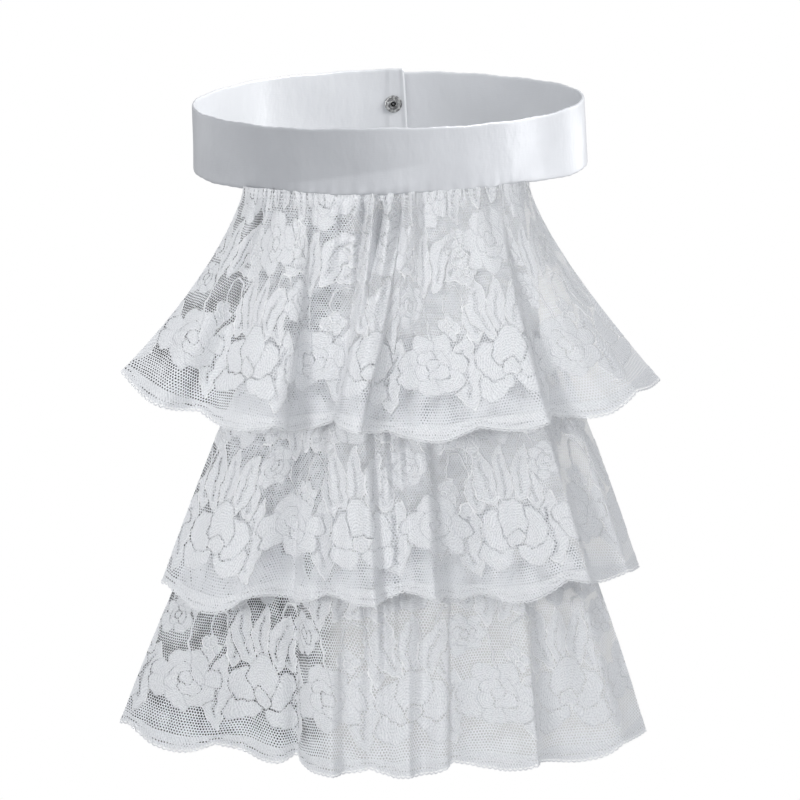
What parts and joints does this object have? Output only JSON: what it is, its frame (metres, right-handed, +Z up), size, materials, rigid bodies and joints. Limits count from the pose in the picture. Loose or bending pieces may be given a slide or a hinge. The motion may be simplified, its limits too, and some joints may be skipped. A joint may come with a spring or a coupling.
{
  "type": "lace jabot on a neck band",
  "caption": "Historic costume jabot: a satin neck band with a press stud at the back over gathered tiers of scalloped floral lace.",
  "frame": {"origin": "centre of the neck ring, half way up the band", "axes": "+Z up along the neck, -Y towards the viewer (the jabot's front), +X to the viewer's right"},
  "size_m": [0.2018, 0.174, 0.242],
  "materials": {
    "satin": "white satin, soft sheen",
    "lace": "white floral lace on net",
    "net": "plain white net",
    "snap_metal": "dull nickel stamping"
  },
  "bodies": {
    "root": {"neck_band": "satin", "snap_eyelet": "snap_metal", "snap_stud": "snap_metal", "snap_socket": "snap_metal", "snap_cap": "snap_metal", "backing_panel": "net", "lace_tier_top": "lace", "lace_tier_middle": "lace", "lace_tier_bottom": "lace"}
  },
  "joints": []
}
